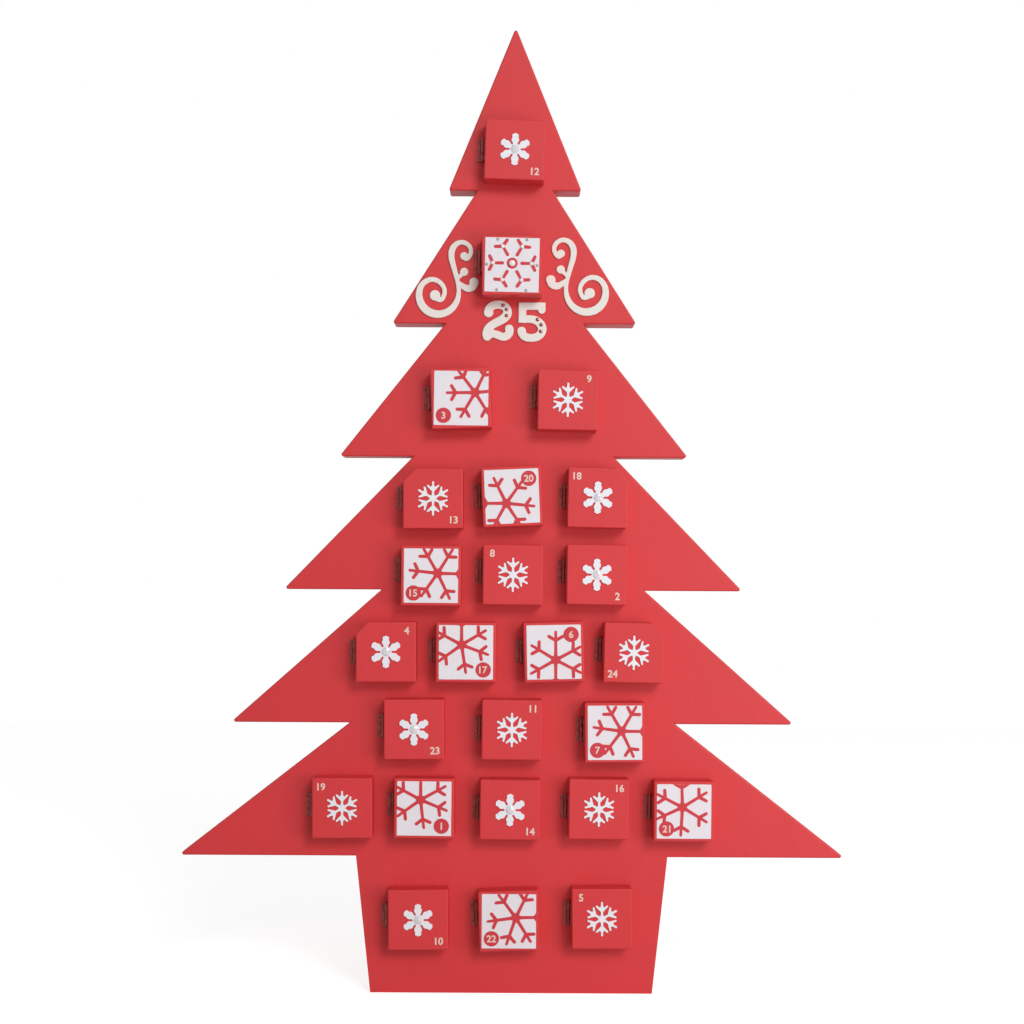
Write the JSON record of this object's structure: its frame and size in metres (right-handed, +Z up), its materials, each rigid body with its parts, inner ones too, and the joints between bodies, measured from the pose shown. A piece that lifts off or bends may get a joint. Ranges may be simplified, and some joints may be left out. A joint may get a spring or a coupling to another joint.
{
  "type": "advent calendar",
  "caption": "Fir-tree-shaped wooden advent calendar: an upright red board carrying small hinged hollow boxes with snowflakes and day numbers, each swinging aside to give its treat.",
  "frame": {"origin": "middle of the pot's lower edge, at mid-thickness of the board, on the surface it stands on", "axes": "+X to the viewer's right, +Z up the tree, the face with the doors looks along -Y"},
  "size_m": [0.411, 0.0325, 0.6],
  "materials": {
    "red_paint": "satin red paint over fibreboard",
    "cream_paint": "matt cream paint on thin cut plywood",
    "bronze": "antique bronze plating"
  },
  "bodies": {
    "board": {"tree_board": "red_paint", "frame_hinge_leaves": "bronze", "hinge_pins": "bronze", "frame_hinge_nails": "bronze", "scroll_left": "cream_paint", "scroll_right": "cream_paint", "numeral_two": "cream_paint", "numeral_five": "cream_paint"},
    "day_01": {"door_01": "red_paint", "door_hinge_leaf_01": "bronze"},
    "day_02": {"door_02": "red_paint", "door_hinge_leaf_02": "bronze"},
    "day_03": {"door_03": "red_paint", "door_hinge_leaf_03": "bronze"},
    "day_04": {"door_04": "red_paint", "door_hinge_leaf_04": "bronze"},
    "day_05": {"door_05": "red_paint", "door_hinge_leaf_05": "bronze"},
    "day_06": {"door_06": "red_paint", "door_hinge_leaf_06": "bronze"},
    "day_07": {"door_07": "red_paint", "door_hinge_leaf_07": "bronze"},
    "day_08": {"door_08": "red_paint", "door_hinge_leaf_08": "bronze"},
    "day_09": {"door_09": "red_paint", "door_hinge_leaf_09": "bronze"},
    "day_10": {"door_10": "red_paint", "door_hinge_leaf_10": "bronze"},
    "day_11": {"door_11": "red_paint", "door_hinge_leaf_11": "bronze"},
    "day_12": {"door_12": "red_paint", "door_hinge_leaf_12": "bronze"},
    "day_13": {"door_13": "red_paint", "door_hinge_leaf_13": "bronze"},
    "day_14": {"door_14": "red_paint", "door_hinge_leaf_14": "bronze"},
    "day_15": {"door_15": "red_paint", "door_hinge_leaf_15": "bronze"},
    "day_16": {"door_16": "red_paint", "door_hinge_leaf_16": "bronze"},
    "day_17": {"door_17": "red_paint", "door_hinge_leaf_17": "bronze"},
    "day_18": {"door_18": "red_paint", "door_hinge_leaf_18": "bronze"},
    "day_19": {"door_19": "red_paint", "door_hinge_leaf_19": "bronze"},
    "day_20": {"door_20": "red_paint", "door_hinge_leaf_20": "bronze"},
    "day_21": {"door_21": "red_paint", "door_hinge_leaf_21": "bronze"},
    "day_22": {"door_22": "red_paint", "door_hinge_leaf_22": "bronze"},
    "day_23": {"door_23": "red_paint", "door_hinge_leaf_23": "bronze"},
    "day_24": {"door_24": "red_paint", "door_hinge_leaf_24": "bronze"},
    "day_25": {"door_25": "red_paint", "door_hinge_leaf_25": "bronze"}
  },
  "joints": [
    {"name": "door_01_swing", "type": "hinge", "parent": "board", "child": "day_01", "pos_m": [-0.07409, -0.01065, 0.11781], "axis": [-0.0052, 0, -1], "range_deg": [0, 64]},
    {"name": "door_02_swing", "type": "hinge", "parent": "board", "child": "day_02", "pos_m": [0.03137, -0.01065, 0.26309], "axis": [-0.0105, 0, -0.9999], "range_deg": [0, 78]},
    {"name": "door_03_swing", "type": "hinge", "parent": "board", "child": "day_03", "pos_m": [-0.05275, -0.01065, 0.37007], "axis": [0.0349, 0, -0.9994], "range_deg": [0, 100]},
    {"name": "door_04_swing", "type": "hinge", "parent": "board", "child": "day_04", "pos_m": [-0.0981, -0.01065, 0.21268], "axis": [0.007, 0, -1], "range_deg": [0, 100]},
    {"name": "door_05_swing", "type": "hinge", "parent": "board", "child": "day_05", "pos_m": [0.03554, -0.01065, 0.05032], "axis": [0.0087, 0, -1], "range_deg": [0, 100]},
    {"name": "door_06_swing", "type": "hinge", "parent": "board", "child": "day_06", "pos_m": [0.00519, -0.01065, 0.21319], "axis": [0.0314, 0, -0.9995], "range_deg": [0, 94]},
    {"name": "door_07_swing", "type": "hinge", "parent": "board", "child": "day_07", "pos_m": [0.04289, -0.01065, 0.16459], "axis": [0.0087, 0, -1], "range_deg": [0, 100]},
    {"name": "door_08_swing", "type": "hinge", "parent": "board", "child": "day_08", "pos_m": [-0.02024, -0.01065, 0.26252], "axis": [-0.007, 0, -1], "range_deg": [0, 66]},
    {"name": "door_09_swing", "type": "hinge", "parent": "board", "child": "day_09", "pos_m": [0.01304, -0.01065, 0.37156], "axis": [-0.014, 0, -0.9999], "range_deg": [0, 100]},
    {"name": "door_10_swing", "type": "hinge", "parent": "board", "child": "day_10", "pos_m": [-0.07746, -0.01065, 0.04875], "axis": [0.0122, 0, -0.9999], "range_deg": [0, 100]},
    {"name": "door_11_swing", "type": "hinge", "parent": "board", "child": "day_11", "pos_m": [-0.0204, -0.01065, 0.16487], "axis": [-0.0052, 0, -1], "range_deg": [0, 100]},
    {"name": "door_12_swing", "type": "hinge", "parent": "board", "child": "day_12", "pos_m": [-0.02028, -0.01065, 0.52469], "axis": [-0.0297, 0, -0.9996], "range_deg": [0, 100]},
    {"name": "door_13_swing", "type": "hinge", "parent": "board", "child": "day_13", "pos_m": [-0.0696, -0.01065, 0.3082], "axis": [0.0035, 0, -1], "range_deg": [0, 100]},
    {"name": "door_14_swing", "type": "hinge", "parent": "board", "child": "day_14", "pos_m": [-0.0213, -0.01065, 0.11588], "axis": [-0.0087, 0, -1], "range_deg": [0, 92]},
    {"name": "door_15_swing", "type": "hinge", "parent": "board", "child": "day_15", "pos_m": [-0.07064, -0.01065, 0.26345], "axis": [-0.0035, 0, -1], "range_deg": [0, 100]},
    {"name": "door_16_swing", "type": "hinge", "parent": "board", "child": "day_16", "pos_m": [0.0334, -0.01065, 0.11685], "axis": [-0.007, 0, -1], "range_deg": [0, 100]},
    {"name": "door_17_swing", "type": "hinge", "parent": "board", "child": "day_17", "pos_m": [-0.0489, -0.01065, 0.21336], "axis": [-0.0017, 0, -1], "range_deg": [0, 56]},
    {"name": "door_18_swing", "type": "hinge", "parent": "board", "child": "day_18", "pos_m": [0.03172, -0.01065, 0.30962], "axis": [-0.0175, 0, -0.9998], "range_deg": [0, 80]},
    {"name": "door_19_swing", "type": "hinge", "parent": "board", "child": "day_19", "pos_m": [-0.1245, -0.01065, 0.1171], "axis": [0.0052, 0, -1], "range_deg": [0, 100]},
    {"name": "door_20_swing", "type": "hinge", "parent": "board", "child": "day_20", "pos_m": [-0.02115, -0.01065, 0.30935], "axis": [0.0454, 0, -0.999], "range_deg": [0, 48]},
    {"name": "door_21_swing", "type": "hinge", "parent": "board", "child": "day_21", "pos_m": [0.0856, -0.01065, 0.11678], "axis": [-0.0035, 0, -1], "range_deg": [0, 90]},
    {"name": "door_22_swing", "type": "hinge", "parent": "board", "child": "day_22", "pos_m": [-0.02173, -0.01065, 0.04987], "axis": [0.0314, 0, -0.9995], "range_deg": [0, 100]},
    {"name": "door_23_swing", "type": "hinge", "parent": "board", "child": "day_23", "pos_m": [-0.08061, -0.01065, 0.16612], "axis": [0.007, 0, -1], "range_deg": [0, 100]},
    {"name": "door_24_swing", "type": "hinge", "parent": "board", "child": "day_24", "pos_m": [0.05442, -0.01065, 0.21464], "axis": [-0.0157, 0, -0.9999], "range_deg": [0, 50]},
    {"name": "door_25_swing", "type": "hinge", "parent": "board", "child": "day_25", "pos_m": [-0.02186, -0.01065, 0.45496], "axis": [0.0035, 0, -1], "range_deg": [0, 94]}
  ]
}
